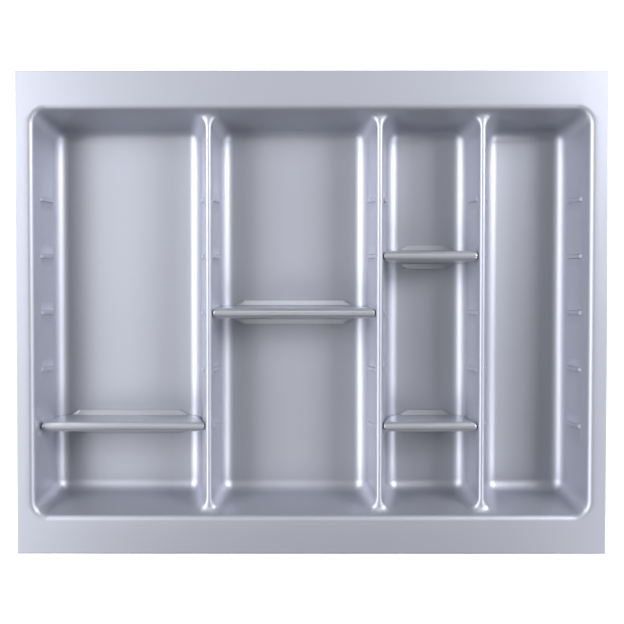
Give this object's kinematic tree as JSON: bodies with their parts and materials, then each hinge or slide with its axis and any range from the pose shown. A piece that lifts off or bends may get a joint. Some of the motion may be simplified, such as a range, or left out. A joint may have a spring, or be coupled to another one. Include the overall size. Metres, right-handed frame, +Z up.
{
  "type": "cutlery tray",
  "caption": "Flat-rimmed drawer tray with long tapered compartments, small ribs along their side walls and loose cross dividers that stand over the ribs.",
  "frame": {"origin": "centre of the tray's footprint, on the surface that it stands on", "axes": "+X along the tray's long side, to the right; +Y towards the back of the drawer; +Z up"},
  "size_m": [0.6, 0.49, 0.06],
  "materials": {
    "tray_sheet": "satin",
    "divider_plastic": "satin"
  },
  "bodies": {
    "tray": {"tray": "tray_sheet"},
    "wide_divider_left": {"wide_divider_left": "divider_plastic"},
    "wide_divider_middle": {"wide_divider_middle": "divider_plastic"},
    "narrow_divider_rear": {"narrow_divider_rear": "divider_plastic"},
    "narrow_divider_front": {"narrow_divider_front": "divider_plastic"}
  },
  "joints": [
    {"name": "wide_divider_left_lift", "type": "slide", "parent": "tray", "child": "wide_divider_left", "axis": [0, 0, 1], "range_m": [0, 0.06]},
    {"name": "wide_divider_middle_lift", "type": "slide", "parent": "tray", "child": "wide_divider_middle", "axis": [0, 0, 1], "range_m": [0, 0.06]},
    {"name": "narrow_divider_rear_lift", "type": "slide", "parent": "tray", "child": "narrow_divider_rear", "axis": [0, 0, 1], "range_m": [0, 0.06]},
    {"name": "narrow_divider_front_lift", "type": "slide", "parent": "tray", "child": "narrow_divider_front", "axis": [0, 0, 1], "range_m": [0, 0.06]}
  ]
}
